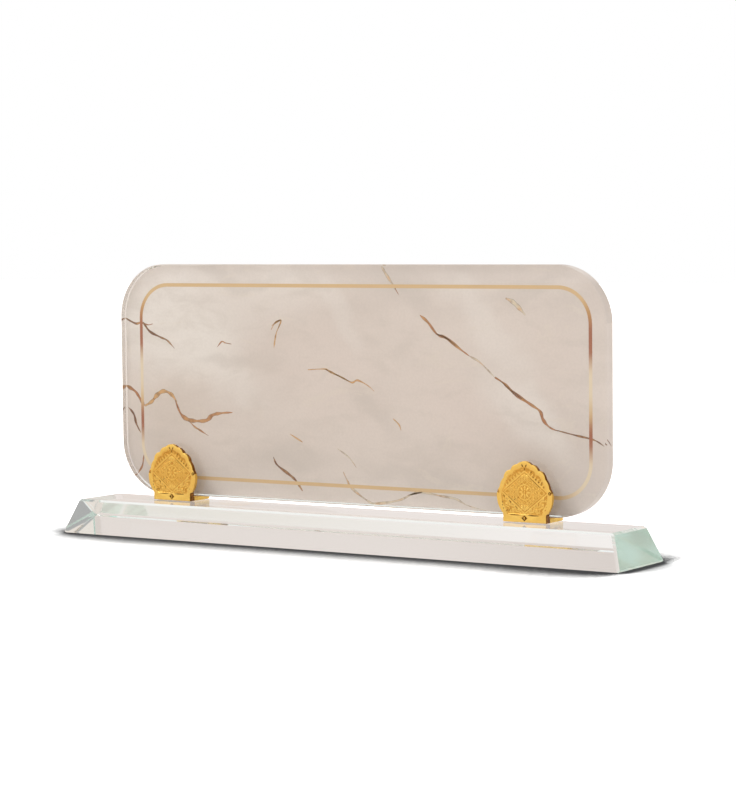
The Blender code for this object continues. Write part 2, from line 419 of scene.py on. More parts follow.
def marble_material():
    """Warm rose-grey marble: soft clouds laid one by one, finer mottling and pale diagonal drifts."""
    material, nodes, shader, _ = new_material("printed_marble")
    place = nodes.object_place()
    panel_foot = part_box("name_panel")[0][2]
    wander = nodes.noise(place, 30.0, detail=6.0, output="Color")
    reach = (wander_reach, wander_reach, wander_reach)
    wandered = nodes.add("ShaderNodeVectorMath", {0: wander, 1: reach, 2: place}, operation="MULTIPLY_ADD")
    drift = nodes.mapped(place, turn=(0, math.radians(32), 0), scale=(1.0, 1.0, 2.4))
    broad = nodes.noise(drift, 13.0, detail=4.0, roughness=0.55, distortion=0.8)
    fine = nodes.noise(drift, 46.0, detail=6.0, roughness=0.6, distortion=0.6)
    wisps = nodes.noise(drift, 22.0, detail=7.0, roughness=0.65, distortion=1.6)
    grain = nodes.noise(place, 900.0, detail=2.0)
    colour = nodes.blend(broad, 0.35, 0.68, srgb(232, 219, 210), srgb(224, 211, 202))
    for across, above, half_length, half_height, turn, strength, tone in marble_clouds:
        middle = (across * mm + wander_reach / 2, 0, panel_foot + above * mm + wander_reach / 2)
        size = (half_length * mm, 1, half_height * mm)
        turned = (0, math.radians(turn), 0)
        cloud = nodes.mapped(wandered.outputs["Vector"], turned, size, middle, "TEXTURE")
        ball = nodes.add("ShaderNodeTexGradient", {"Vector": cloud}, gradient_type="SPHERICAL")
        colour = nodes.blend(ball.outputs["Fac"], 0.0, 0.75, colour, tone, strength)
    colour = nodes.blend(fine, 0.45, 0.70, colour, srgb(215, 203, 193), 0.35)
    colour = nodes.blend(wisps, 0.58, 0.66, colour, srgb(234, 222, 209), 0.35)
    colour = nodes.blend(grain, 0.35, 0.65, colour, srgb(170, 158, 148), 0.05)
    nodes.fill(shader, {"Base Color": colour, "Roughness": 0.55})
    return material


def vein_material():
    """Veins in the marble: brown where they are thin, gold to copper where they are wide, with soft edges."""
    material, nodes, shader, _ = new_material("marble_vein")
    place = nodes.object_place()
    tint = nodes.add("ShaderNodeVertexColor", layer_name="vein_tint").outputs["Color"]
    shade = nodes.noise(place, 160.0, detail=3.0, roughness=0.6)
    colour = nodes.blend(shade, 0.40, 0.64, tint, srgb(214, 164, 108), 0.7)
    colour = nodes.blend(nodes.noise(place, 420.0), 0.45, 0.68, colour, srgb(122, 76, 50), 0.45)
    _, over, _ = nodes.axes(nodes.add("ShaderNodeUVMap").outputs["UV"])
    across = nodes.math("ABSOLUTE", nodes.math("SUBTRACT", over, 0.5))
    edge = nodes.spread(across, 0.28, 0.5, 1.0, 0.0)
    broken = nodes.spread(nodes.noise(place, 260.0, detail=4.0), 0.25, 0.45, 0.65, 1.0)
    cover = nodes.math("MULTIPLY", edge, broken)
    nodes.fill(shader, {"Base Color": colour, "Alpha": cover, "Roughness": 0.5})
    return material


def border_material():
    """The border line: printed metal shades from pale gold to copper, the same on both halves of the line."""
    material, nodes, shader, _ = new_material("border_gold")
    along, _, _ = nodes.axes(nodes.add("ShaderNodeUVMap").outputs["UV"])
    pale = srgb(238, 220, 191)
    gold = srgb(224, 190, 142)
    deep = srgb(202, 152, 98)
    copper = srgb(172, 106, 76)
    shades = (
        (gold, 0.000, 0.165, 0.185),
        (deep, 0.196),
        (copper, 0.208, 0.222),
        (pale, 0.236, 0.252),
        (gold, 0.264),
        (copper, 0.275, 0.284),
        (pale, 0.298, 0.315),
        (gold, 0.335),
    )
    right_half = [(position, shade) for shade, *positions in shades for position in positions]
    left_half = [(1 - position, shade) for position, shade in reversed(right_half)]
    nodes.fill(shader, {"Base Color": nodes.ramp(along, right_half + left_half), "Roughness": 0.4})
    return material


def film_back_material():
    """The film's own back: matt white ink with a trace of grain."""
    material, nodes, shader, _ = new_material("white_ink_back")
    grain = nodes.noise(nodes.object_place(), 1400.0, detail=3.0)
    colour = nodes.blend(grain, 0.3, 0.7, srgb(228, 225, 220), srgb(236, 233, 229))
    nodes.fill(shader, {"Base Color": colour, "Roughness": 0.6, "Normal": nodes.bump(grain, 0.00002)})
    return material


def cast_gold_material(front_y):
    """Gold plate on a casting: a finely stippled front, with painted shade between the stipples and in the
    sunk field.
    """
    material, nodes, shader, _ = new_material("cast_gold")
    place = nodes.object_place()
    _, behind, _ = nodes.axes(place)
    depth = nodes.math("SUBTRACT", behind, front_y + field_sink)
    raised = nodes.spread(depth, -0.09 * mm, -0.02 * mm, 1.0, 0.0)
    on_front = nodes.spread(depth, 0.05 * mm, 0.15 * mm, 1.0, 0.0)
    dots = {"Vector": nodes.mapped(place, scale=(1, 0, 1)), "Scale": 1 / stipple_pitch, "Randomness": 0.75}
    cells = nodes.add("ShaderNodeTexVoronoi", dots, feature="F1")
    stipple = nodes.spread(cells.outputs["Distance"], 0.12, 0.55, 1.0, 0.0)
    bright = srgb(255, 212, 112)
    worn = srgb(248, 198, 98)
    # The darkest gold: painted shade for the sunk field and the gaps between stipples
    ground = srgb(216, 160, 70)
    patches = nodes.noise(place, 240.0, detail=3.0)
    plate = nodes.blend(patches, 0.35, 0.7, bright, worn, 0.45)
    # Painted shade: the sunk field goes darker, most of all between its stipples
    field_gold_in_painted_shade = nodes.mix(stipple, ground, worn)
    in_field = nodes.math("MULTIPLY", nodes.math("SUBTRACT", 1.0, raised), on_front)
    colour = nodes.mix(in_field, plate, field_gold_in_painted_shade)
    # Painted shade between the stipples all over the front
    shade_between_stipples = nodes.math("MULTIPLY", nodes.math("SUBTRACT", 1.0, stipple), 0.16)
    colour = nodes.mix(nodes.math("MULTIPLY", shade_between_stipples, on_front), colour, ground)
    roughness = nodes.spread(patches, 0.3, 0.7, 0.26, 0.38)
    skin = nodes.noise(place, 3200.0, detail=3.0)
    beads = nodes.math("MULTIPLY", stipple, nodes.spread(in_field, 0.0, 1.0, 0.35, 1.0))
    grained = nodes.math("ADD", beads, nodes.math("MULTIPLY", skin, 0.25))
    normal = nodes.bump(nodes.math("MULTIPLY", grained, on_front), 0.00012, 0.7)
    nodes.fill(shader, {"Base Color": colour, "Metallic": 1.0, "Roughness": roughness, "Normal": normal})
    return material


def gold_painted_shade_material():
    """Painted shade: a brown gold for the casting's side walls and grooves, standing in for the shade that
    falls there.
    """
    material, nodes, shader, _ = new_material("gold_in_painted_shade")
    shade = nodes.noise(nodes.object_place(), 420.0, detail=3.0)
    tone = nodes.blend(shade, 0.35, 0.65, srgb(120, 74, 28), srgb(172, 116, 46))
    roughness = nodes.spread(shade, 0.3, 0.7, 0.38, 0.5)
    nodes.fill(shader, {"Base Color": tone, "Metallic": 1.0, "Roughness": roughness})
    return material


def soft_clear_material(name, colour, roughness):
    """Clear silicone or gel with a trace of haze."""
    material, nodes, shader, output = new_material(name)
    haze = nodes.noise(nodes.object_place(), 700.0)
    tone = nodes.blend(haze, 0.3, 0.7, colour, srgb(250, 250, 248))
    nodes.fill(shader, {"Base Color": tone, "Roughness": roughness, "IOR": 1.41, "Transmission Weight": 0.9})
    lets_shadow_light_through(nodes, shader, output, (0.9, 0.9, 0.9, 1.0))
    return material


# The glass panel, its marble print and the border line


def glass_panel():
    """The clear panel, with a narrow bevel round its front and its back, bedded on the print."""
    low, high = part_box("name_panel")
    film_low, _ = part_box("marble_print")
    back_y = film_low[1] + panel_in_print
    panel = rounded_slab("clear_panel", low, (high[0], back_y, high[2]), panel_corner_radius)
    begin_edit(panel, "EDGE")

    def on_a_face_rim(edge):
        first, second = (vertex.co.y for vertex in edge.verts)
        return any(abs(first - y) < touching and abs(second - y) < touching for y in (low[1], back_y))

    select_edges(panel, on_a_face_rim)
    bpy.ops.mesh.bevel(offset=panel_edge, segments=1, affect="EDGES", clamp_overlap=False)
    end_edit()
    smooth_by_angle(panel, 20)
    tint, shadow_tint = (0.99, 1.0, 0.995, 1), (0.97, 0.98, 0.975, 1)
    dress(panel, glass_material("panel_glass", tint, srgb(214, 238, 228), 3.0, shadow_tint))
    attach(panel, "plate")
    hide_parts("name_panel")


def marble_film():
    """The printed film: marble in front, white ink on its back."""
    low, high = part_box("marble_print")
    margin = low[0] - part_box("name_panel")[0][0]
    film = rounded_slab("marble_film", low, high, panel_corner_radius - margin)
    smooth_by_angle(film, 20)
    dress(film, marble_material(), film_back_material())
    for face in film.data.polygons:
        face.material_index = 0 if face.normal.y < 0.5 else 1
    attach(film, "plate")
    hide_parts("marble_print")


def smooth_route(points, flats):
    """A rounded route through the points, with this many steps between each two."""
    route = []
    count = len(points)
    for index in range(count - 1):
        before = points[max(index - 1, 0)]
        start, end = points[index], points[index + 1]
        after = points[min(index + 2, count - 1)]
        for step in range(flats):
            t = step / flats
            weights = (
                (-t + 2 * t**2 - t**3) / 2,
                (2 - 5 * t**2 + 3 * t**3) / 2,
                (t + 4 * t**2 - 3 * t**3) / 2,
                (t**3 - t**2) / 2,
            )
            parts = [Vector(p) * w for p, w in zip((before, start, end, after), weights)]
            route.append(sum(parts, Vector((0, 0))))
    route.append(Vector(points[-1]))
    return route


def strip_along(name, route, widths, y, closed=False):
    """A flat strip on the plane at this y: a grid bent along the route, its UV runs along and across."""
    deselect_all()
    count = len(route)
    bpy.ops.mesh.primitive_grid_add(x_subdivisions=count - 1, y_subdivisions=2, size=1.0)
    strip = bpy.context.object
    strip.name = name
    for vertex in strip.data.vertices:
        index = round((vertex.co.x + 0.5) * (count - 1))
        side = round(vertex.co.y * 2)
        before, after = route[max(index - 1, 0)], route[min(index + 1, count - 1)]
        if closed and index in (0, count - 1):
            before, after = route[-2], route[1]
        ahead = (after - before).normalized()
        away = Vector((-ahead.y, ahead.x)) * (side * widths[index] / 2)
        vertex.co = (route[index].x + away.x, y, route[index].y + away.y)
    strip.data.update()
    if strip.data.polygons[0].normal.y > 0:
        begin_edit(strip, "FACE")
        bpy.ops.mesh.select_all(action="SELECT")
        bpy.ops.mesh.flip_normals()
        end_edit()
    return strip


def border_line():
    """The border line, once round clockwise from the middle of its top."""
    low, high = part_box("name_panel")
    left, right = low[0] + border_side_inset, high[0] - border_side_inset
    foot, top = low[2] + border_foot_inset, high[2] - border_top_inset
    radius = border_corner_radius
    route = [Vector(((left + right) / 2, top))]
    corners = (
        (right - radius, top - radius, 90),
        (right - radius, foot + radius, 0),
        (left + radius, foot + radius, -90),
        (left + radius, top - radius, -180),
    )
    for centre_x, centre_z, start in corners:
        for step in range(border_corner_flats + 1):
            angle = math.radians(start - 90 * step / border_corner_flats)
            route.append(Vector((centre_x + radius * math.cos(angle), centre_z + radius * math.sin(angle))))
    route.append(route[0].copy())
    even = evenly_spaced(route, border_steps)
    film_low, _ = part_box("marble_print")
    widths = [border_width] * len(even)
    line = strip_along("border_line", even, widths, film_low[1] - border_lift, closed=True)
    dress(line, border_material())
    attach(line, "plate")


def evenly_spaced(route, steps):
    """The same route with its points an even distance apart."""
    reach = [0.0]
    for before, after in zip(route, route[1:]):
        reach.append(reach[-1] + (after - before).length)
    even = []
    index = 0
    for step in range(steps + 1):
        distance = reach[-1] * step / steps
        while index < len(route) - 2 and reach[index + 1] < distance:
            index += 1
        span = reach[index + 1] - reach[index]
        share = (distance - reach[index]) / span if span else 0.0
        even.append(route[index].lerp(route[index + 1], share))
    return even


# The veins: each a route in millimetres from the panel's middle and foot, its widest width in
# millimetres, and its colour
vein_brown = srgb(128, 88, 62)
vein_gold = srgb(216, 172, 118)
vein_copper = srgb(180, 122, 80)
vein_pale = srgb(224, 208, 184)
vein_routes = (
    ([(-125, 79.5), (-119, 77), (-115, 77.5), (-111, 73.5), (-105, 71), (-101, 69.5), (-97, 66)], 1.6,
     vein_brown),
    ([(-115, 77.5), (-112, 76.5), (-109, 77)], 0.8, vein_copper),
    ([(-125, 48.5), (-120, 46), (-117, 42.5), (-114.5, 39.5)], 2.4, vein_copper),
    ([(-114.5, 39.5), (-110.5, 41.5), (-107.5, 44.5), (-103.5, 46.5), (-99, 45), (-96, 41.5)], 2.8,
     vein_gold),
    ([(-97, 42.5), (-94, 36.5), (-90, 34), (-85, 33.5), (-79.5, 34), (-76, 36.5), (-71, 37.5),
      (-65, 38)], 2.7, vein_copper),
    ([(-90, 34), (-86.5, 31), (-83.5, 29.5), (-78.5, 27)], 1.2, vein_copper),
    ([(-124, 38.5), (-121, 35.5), (-119.5, 31), (-117, 27)], 1.7, vein_brown),
    ([(-115.5, 17), (-116.5, 12), (-119, 8.5)], 1.3, vein_copper),
    ([(-73, 67), (-70.5, 69.5), (-68.5, 69), (-65, 68.5)], 0.9, vein_copper),
    ([(-43, 77), (-38, 79.5), (-40.5, 74), (-41.5, 70), (-42, 67)], 1.1, vein_gold),
    ([(-38, 79.5), (-41, 78.5), (-43.5, 75)], 0.9, vein_gold),
    ([(-15, 58.5), (-12.5, 57.5), (-6, 55), (-1, 53)], 0.6, vein_copper),
    ([(-24, 58), (-15, 58.5), (-12.5, 57.5), (-6, 55), (-1, 53), (2, 54), (7, 52), (10.5, 49.5)], 1.2,
     vein_gold),
    ([(-43, 19), (-41, 15.5), (-34.5, 11.5), (-31, 9), (-29, 6.5), (-27.5, 4.5)], 1.8, vein_brown),
    ([(-6, 14), (-4, 10.5), (-1.5, 7), (6.5, 2), (11, 1), (22.5, 3), (29.5, 6), (34.5, 7), (43, 6), (51, 5),
      (57, 2.5), (66, 0.8)], 1.5, vein_pale),
    ([(27, 5.3), (31, 6.4), (34.5, 7)], 0.9, vein_copper),
    ([(14.9, 103.2), (17, 100), (20, 96), (22, 93)], 1.7, vein_pale),
    ([(20, 96), (21.5, 94), (23.5, 91)], 0.7, vein_copper),
    ([(34, 82.5), (38, 79.5), (42.5, 74.5), (47, 73), (54.5, 68), (58.5, 65.5)], 1.9, vein_copper),
    ([(42.5, 74.5), (47, 73), (52, 69.5)], 0.9, vein_brown),
    ([(58.5, 65.5), (63.5, 63), (70.5, 57)], 1.2, vein_pale),
    ([(70.5, 57), (75, 54.5), (80, 50.5), (87, 46.5), (92, 43.5), (93.5, 40), (96.5, 37),
      (100.5, 35.5)], 2.1, vein_copper),
    ([(73, 55.7), (80, 50.5), (84, 48.2)], 0.8, vein_brown),
    ([(99, 36), (108, 34.2), (115, 33), (118.5, 32), (122, 30)], 1.2, vein_brown),
    ([(76, 90), (79.5, 88.5), (82.5, 86), (85.5, 83)], 2.6, vein_pale),
    ([(-34, 29.5), (-27, 26)], 1.0, vein_gold),
    ([(20, 38), (23, 35.5), (24, 33)], 0.9, vein_gold),
    ([(-9, 24), (-3, 20.5), (1, 16)], 0.7, vein_pale),
)


def marble_veins():
    """All veins, joined in one piece. Each tapers to its ends and swells a little along its way."""
    low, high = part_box("name_panel")
    film_low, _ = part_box("marble_print")
    middle_x = (low[0] + high[0]) / 2
    strips = []
    for number, (points, widest, colour) in enumerate(vein_routes):
        placed = [(middle_x + x * mm, low[2] + z * mm) for x, z in points]
        route = smooth_route(placed, vein_flats)
        count = len(route)
        widths = []
        for index in range(count):
            share = index / (count - 1)
            taper = min(1.0, 4 * share + 0.35, 4 * (1 - share) + 0.15)
            swell = 0.72 + 0.28 * math.sin(index * 0.55 + number * 1.7) * math.cos(index * 0.23 + number)
            widths.append(widest * mm * taper * swell)
        strip = strip_along(f"vein_{number}", route, widths, film_low[1] - vein_lift)
        tint = strip.data.color_attributes.new("vein_tint", "FLOAT_COLOR", "POINT")
        for corner in tint.data:
            corner.color = colour
        strips.append(strip)
    veins = strips[0]
    join_to(veins, strips[1:])
    veins.name = "marble_veins"
    dress(veins, vein_material())
    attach(veins, "plate")


# The cast clamps


def bulged(start, end, bulge, flats):
    """Points from start, left out, to end along a curve that stands bulge away from their chord."""
    start, end = Vector(start), Vector(end)
    chord = end - start
    outward = Vector((chord.y, -chord.x)).normalized()
    shares = [step / flats for step in range(1, flats + 1)]
    return [start + chord * t + outward * bulge * 4 * t * (1 - t) for t in shares]


def clamp_outline(width, height):
    """Points (x, height above the foot) of the scalloped plate, once round from its right foot corner."""
    side_cusps = (
        (1.000, 0.340, 0.062, 12),
        (0.900, 0.498, 0.026, 7),
        (0.750, 0.679, 0.030, 7),
        (0.500, 0.828, 0.075, 9),
        (0.273, 0.937, 0.050, 7),
    )
    half_width = width / 2
    lobed_height = height - clamp_foot_height
    right = [Vector((clamp_foot_width / 2, 0.0)), Vector((clamp_foot_width / 2, clamp_foot_height))]
    for x_share, z_share, bulge, flats in side_cusps:
        cusp = (half_width * x_share, clamp_foot_height + lobed_height * z_share)
        right += bulged(right[-1], cusp, half_width * bulge, flats)
    last = right[-1]
    apex = bulged(last, (-last.x, last.y), height - last.y, 14)
    left = [Vector((-point.x, point.y)) for point in reversed(right[:-1])]
    return right + apex + left


def carry_cap_to(piece, section):
    """Extrudes the selected cap and moves its new corners onto the next section, a list of points."""
    bpy.ops.mesh.extrude_region_move(TRANSFORM_OT_translate={"value": (0, 0, 0)})
    shape = bmesh.from_edit_mesh(piece.data)
    corner = shape.verts.layers.int["corner"]
    for vertex in shape.verts:
        if vertex.select:
            vertex.co = section[vertex[corner]]
    bmesh.update_edit_mesh(piece.data)


# The big lozenge on the clamp's field, in millimetres across and above the foot: its top, foot and
# side corner. The rosette and the rings in the rim are level with the side corner.
frame_top = (0, 21.3)
frame_foot = (0, 3.6)
frame_level = 12.45
frame_side = (11.0, frame_level)
rim_ring_x = 12.05
foot_diamond_z = 1.75

# Pockets carved in the clamp's front, in millimetres: place across and above the foot, half length, half
# width, turn and number of corners. One that is off the middle has a mirrored twin.
pocket_depth = 0.72 * mm
clamp_pockets = (
    (4.3, 3.0, 2.7, 0.20, 0, 10),
    (0, foot_diamond_z, 1.35, 1.25, 0, 4),
    (0.85, 23.45, 0.72, 0.24, 66, 10),
    (0, 22.1, 0.62, 0.20, 90, 10),
    (rim_ring_x, frame_level, 0.72, 0.72, 0, 14),
    (6.3, 17.1, 4.4, 0.17, -38, 10),
    (4.6, 16.7, 3.6, 0.15, -38, 10),
    (6.3, 7.85, 5.4, 0.17, 38, 10),
    (5.0, 8.55, 4.2, 0.14, 38, 10),
    (4.5, 9.6, 0.95, 0.17, -38, 8),
    (3.3, 9.9, 0.75, 0.14, -38, 8),
    (7.2, 4.9, 0.85, 0.15, -42, 8),
    (8.4, 4.7, 0.80, 0.15, -42, 8),
    (10.4, 8.1, 0.26, 0.24, 0, 8),
    (10.4, 6.8, 0.26, 0.24, 0, 8),
    (9.9, 5.5, 0.26, 0.24, 0, 8),
    (8.3, 16.9, 0.70, 0.14, 40, 8),
    (3.2, 20.9, 0.70, 0.14, 40, 8),
)


def clamp_casting(side):
    """One casting: a scalloped front plate with a rim round its sunk field, a web and a plain back plate."""
    low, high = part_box(f"{side}_clamp")
    width, height = high[0] - low[0], high[2] - low[2]
    centre_x = (low[0] + high[0]) / 2
    front_y, back_y, foot_z = low[1], high[1], low[2]
    outline = clamp_outline(width, height)

    def placed(points, y):
        return [(centre_x + point.x, y, foot_z + point.y) for point in points]

    def narrowed(inset):
        scale_x, scale_z = 1 - 2 * inset / width, 1 - inset / height
        foot_top = clamp_foot_height + 0.01 * mm
        return [Vector((p.x if p.y < foot_top else p.x * scale_x, p.y * scale_z)) for p in outline]

    def drawn_in(inset, lowest=0.0):
        scale_x, scale_z = 1 - 2 * inset / width, 1 - 2 * inset / height
        middle = height / 2
        return [Vector((p.x * scale_x, max(middle + (p.y - middle) * scale_z, lowest))) for p in outline]

    shoulder_y = front_y + clamp_edge_thickness
    rim, curved = clamp_rim_width, clamp_edge * 0.3
    sections = [
        placed(narrowed(clamp_shoulder), back_y - clamp_edge),
        placed(narrowed(clamp_shoulder), front_y + clamp_foot_depth),
        placed(narrowed(clamp_shoulder), shoulder_y + clamp_shoulder),
        placed(outline, shoulder_y),
        placed(outline, front_y + clamp_edge),
        placed(drawn_in(curved), front_y + curved),
        placed(drawn_in(clamp_edge), front_y),
        placed(drawn_in(rim - clamp_edge, field_foot - clamp_edge), front_y),
        placed(drawn_in(rim - curved, field_foot - curved), front_y + clamp_edge * 0.25),
        placed(drawn_in(rim, field_foot), front_y + clamp_edge),
        placed(drawn_in(rim + field_wall, field_foot + field_wall), front_y + field_sink),
    ]

    deselect_all()
    bpy.ops.mesh.primitive_circle_add(vertices=len(outline), radius=width / 2, fill_type="NGON")
    body = bpy.context.object
    body.name = f"{side}_casting"
    for vertex, point in zip(body.data.vertices, placed(narrowed(clamp_shoulder + clamp_edge), back_y)):
        vertex.co = point
    corner = body.data.attributes.new("corner", "INT", "POINT")
    for index, entry in enumerate(corner.data):
        entry.value = index
    begin_edit(body, "FACE")
    bpy.ops.mesh.select_all(action="SELECT")
    for section in sections:
        carry_cap_to(body, section)
    bpy.ops.mesh.select_all(action="SELECT")
    bpy.ops.mesh.normals_make_consistent(inside=False)
    end_edit()
    body.data.attributes.remove(body.data.attributes["corner"])

    beyond = 2 * mm
    slot_front, slot_back = front_y + clamp_leg_front, back_y - clamp_leg_back
    cut_away(
        body,
        (low[0] - beyond, slot_front, foot_z + clamp_web_top),
        (high[0] + beyond, slot_back, foot_z + height + beyond),
    )
    pad_low, pad_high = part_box(f"{side}_bond_pad")
    cut_away(
        body,
        (pad_low[0] - pad_play, pad_low[1] - pad_play, foot_z - beyond),
        (pad_high[0] + pad_play, pad_high[1] + pad_play, pad_high[2] + pad_play),
    )
    for across, above, half_length, half_width, degrees, corners in clamp_pockets:
        for way in (-1, 1) if across else (1,):
            middle = (centre_x + way * across * mm, front_y, foot_z + above * mm)
            carve(body, middle, half_length * mm, half_width * mm, way * degrees, corners, pocket_depth)
    rounding = body.modifiers.new("soft_edges", "BEVEL")
    rounding.width = soft_edge
    rounding.segments = 2
    rounding.limit_method = "ANGLE"
    rounding.angle_limit = math.radians(60)
    make_active(body)
    bpy.ops.object.modifier_apply(modifier=rounding.name)
    smooth_by_angle(body, 40)
    # The second slot holds the painted shade for shaded walls, grooves and the ledge
    dress(body, cast_gold, gold_in_painted_shade)
    paint_shade_on_recesses(body, (centre_x, front_y, foot_z), slot_front, drawn_in(rim * 0.8))
    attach(body, "stand")
    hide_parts(f"{side}_clamp")
    inset = field_wall + relief_margin
    field = [point / mm for point in drawn_in(rim + inset, field_foot + inset)]
    return body, (centre_x, front_y + field_sink, foot_z), field


def paint_shade_on_recesses(body, front_foot, slot_front, field):
    """Paints shade in brown on side walls, pockets and the ledge under the field. The walls and pockets
    that catch the light, at the upper left and the lower right, stay gold."""
    centre_x, front_y, foot_z = front_foot
    for face in body.data.polygons:
        spot = Vector((face.center.x - centre_x, face.center.z - foot_z))
        behind = face.center.y - front_y
        lit = spot.x * (spot.y - frame_level * mm) < 0 and abs(spot.x) > 1.3 * mm
        lit = lit and 4 * mm < spot.y < 22 * mm
        in_field = within(spot, field) and behind < field_sink + 0.02 * mm
        on_ledge = in_field and face.normal.z > 0.5 and spot.y < field_foot + 1 * mm
        on_wall = abs(face.normal.y) < 0.75 and face.normal.z < 0.9 and not in_field
        on_wall = on_wall and 0.1 * mm < behind < slot_front - front_y
        in_pocket = abs(behind - pocket_depth) < 0.01 * mm and face.normal.y < -0.75
        # These faces get the painted shade
        if on_ledge or ((on_wall or in_pocket) and not lit):
            face.material_index = 1


# The relief on the clamps' fields: strands in millimetres, (points, radii), across and above the foot.
# What stands on one side of the middle is mirrored to the other.


def heading(degrees):
    angle = math.radians(degrees)
    return Vector((math.cos(angle), math.sin(angle)))


def straight(start, end, thick):
    start, end, steps = Vector(start), Vector(end), 8
    return [start.lerp(end, step / steps) for step in range(steps + 1)], [thick] * (steps + 1)


def curl(start, degrees, reach, side, thick=0.24, turns=1.3):
    """A tendril that sets out in a direction and winds up to its left (side 1) or its right (side -1)."""
    steps = round(15 * turns)
    place, points, radii = Vector(start), [Vector(start)], [thick * 0.8]
    for step in range(steps):
        share = (step + 1) / steps
        bend = reach * (1 - 0.78 * share)
        turned = degrees + side * 360 * turns * share
        place = place + heading(turned) * bend * 2 * math.pi * turns / steps
        points.append(place)
        radii.append(thick * (1.0 - 0.35 * share))
    radii[-1] = thick * 1.15
    return points, radii


def leaf(start, degrees, length, bend=0.0, thick=0.36):
    """A pointed leaf: thin at its stalk, full at its middle, drawn out at its tip."""
    steps = 8
    place, points, radii = Vector(start), [Vector(start)], [thick * 0.35]
    for step in range(steps):
        share = (step + 1) / steps
        place = place + heading(degrees + bend * (share - 0.5)) * (length / steps)
        points.append(place)
        radii.append(thick * max(0.18, math.sin(math.pi * min(1.0, share * 0.86 + 0.14)) ** 0.8))
    return points, radii


def knob(place, thick):
    place = Vector(place)
    offset = Vector((thick * 0.25, 0))
    points = [place - offset * 2, place - offset, place + offset, place + offset * 2]
    return points, [thick * 0.5, thick * 0.9, thick * 0.9, thick * 0.5]


def ring(centre, radius, thick, points=40):
    route = [Vector(centre) + heading(360 * step / points) * radius for step in range(points + 1)]
    return route, [thick] * (points + 1)


def diaper(middle, half_width, half_height, cells, clear):
    """A lattice of small rhombi round the rosette, with a flower or a pair of tendrils in each."""
    strands = []
    foot = middle - Vector((0, half_height))

    def at(s, t):
        return foot + Vector(((s - t) * half_width, (s + t) * half_height))

    steps = 32
    for line in range(1, cells):
        share = line / cells
        run = []
        for step in range(steps + 1):
            point = at(share, step / steps)
            if (point - middle).length > clear:
                run.append(point)
            if run and ((point - middle).length <= clear or step == steps):
                if len(run) > 2:
                    strands.append((run, [0.12] * len(run)))
                run = []
    for i in range(cells):
        for j in range(i + 1):
            centre = at((i + 0.5) / cells, (j + 0.5) / cells)
            if (centre - middle).length < clear + 0.55 or i - j == cells - 1 or i == j:
                continue
            if (i + j) % 2:
                strands += [leaf(centre + heading(a) * 0.16, a, 0.62, 0, 0.19) for a in (0, 90, 180, 270)]
            else:
                aim = math.degrees(math.atan2(centre.y - middle.y, centre.x - middle.x))
                strands.append(curl(centre, aim + 20, 0.27, -1, 0.15, 1.0))
                strands.append(curl(centre, aim + 200, 0.27, -1, 0.15, 1.0))
    return strands


def within(place, field):
    """True where a place lies inside a closed outline."""
    odd = False
    for first, second in zip(field, field[1:] + field[:1]):
        if (first.y > place.y) != (second.y > place.y):
            share = (place.y - first.y) / (second.y - first.y)
            if place.x < first.x + share * (second.x - first.x):
                odd = not odd
    return odd


def scroll_row(start, end, bay, sway, field):
    """A running scroll: a stem that sways from side to side, with a curl and two leaves in each bay."""
    start, end = Vector(start), Vector(end)
    ahead = (end - start).normalized()
    aside = Vector((-ahead.y, ahead.x))
    aim = math.degrees(math.atan2(ahead.y, ahead.x))
    bays, steps = int((end - start).length / bay), 8
    strands, run = [], []
    for step in range(bays * steps + 1):
        along = step / steps
        place = start + ahead * along * bay + aside * sway * math.sin(math.pi * along)
        inside = within(place, field)
        if inside:
            run.append(place)
        if len(run) > 2 and (step == bays * steps or not inside):
            strands.append((run, [0.15] * len(run)))
        if not inside:
            run = []
    for number in range(bays):
        side = 1 if number % 2 == 0 else -1
        outward = aside * side * sway
        root = start + ahead * number * bay
        under = start + ahead * (number + 0.5) * bay - outward * 0.2
        if within(root, field) and within(under - outward * 0.9, field):
            strands.append(curl(root, aim + side * 38, bay * 0.33, -side, 0.17, 1.25))
            strands.append(leaf(under - outward * 0.7, aim - side * 62, bay * 0.5, side * 30, 0.24))
            strands.append(leaf(under + outward * 1.35, aim + side * 20, bay * 0.45, -side * 40, 0.2))
    return strands


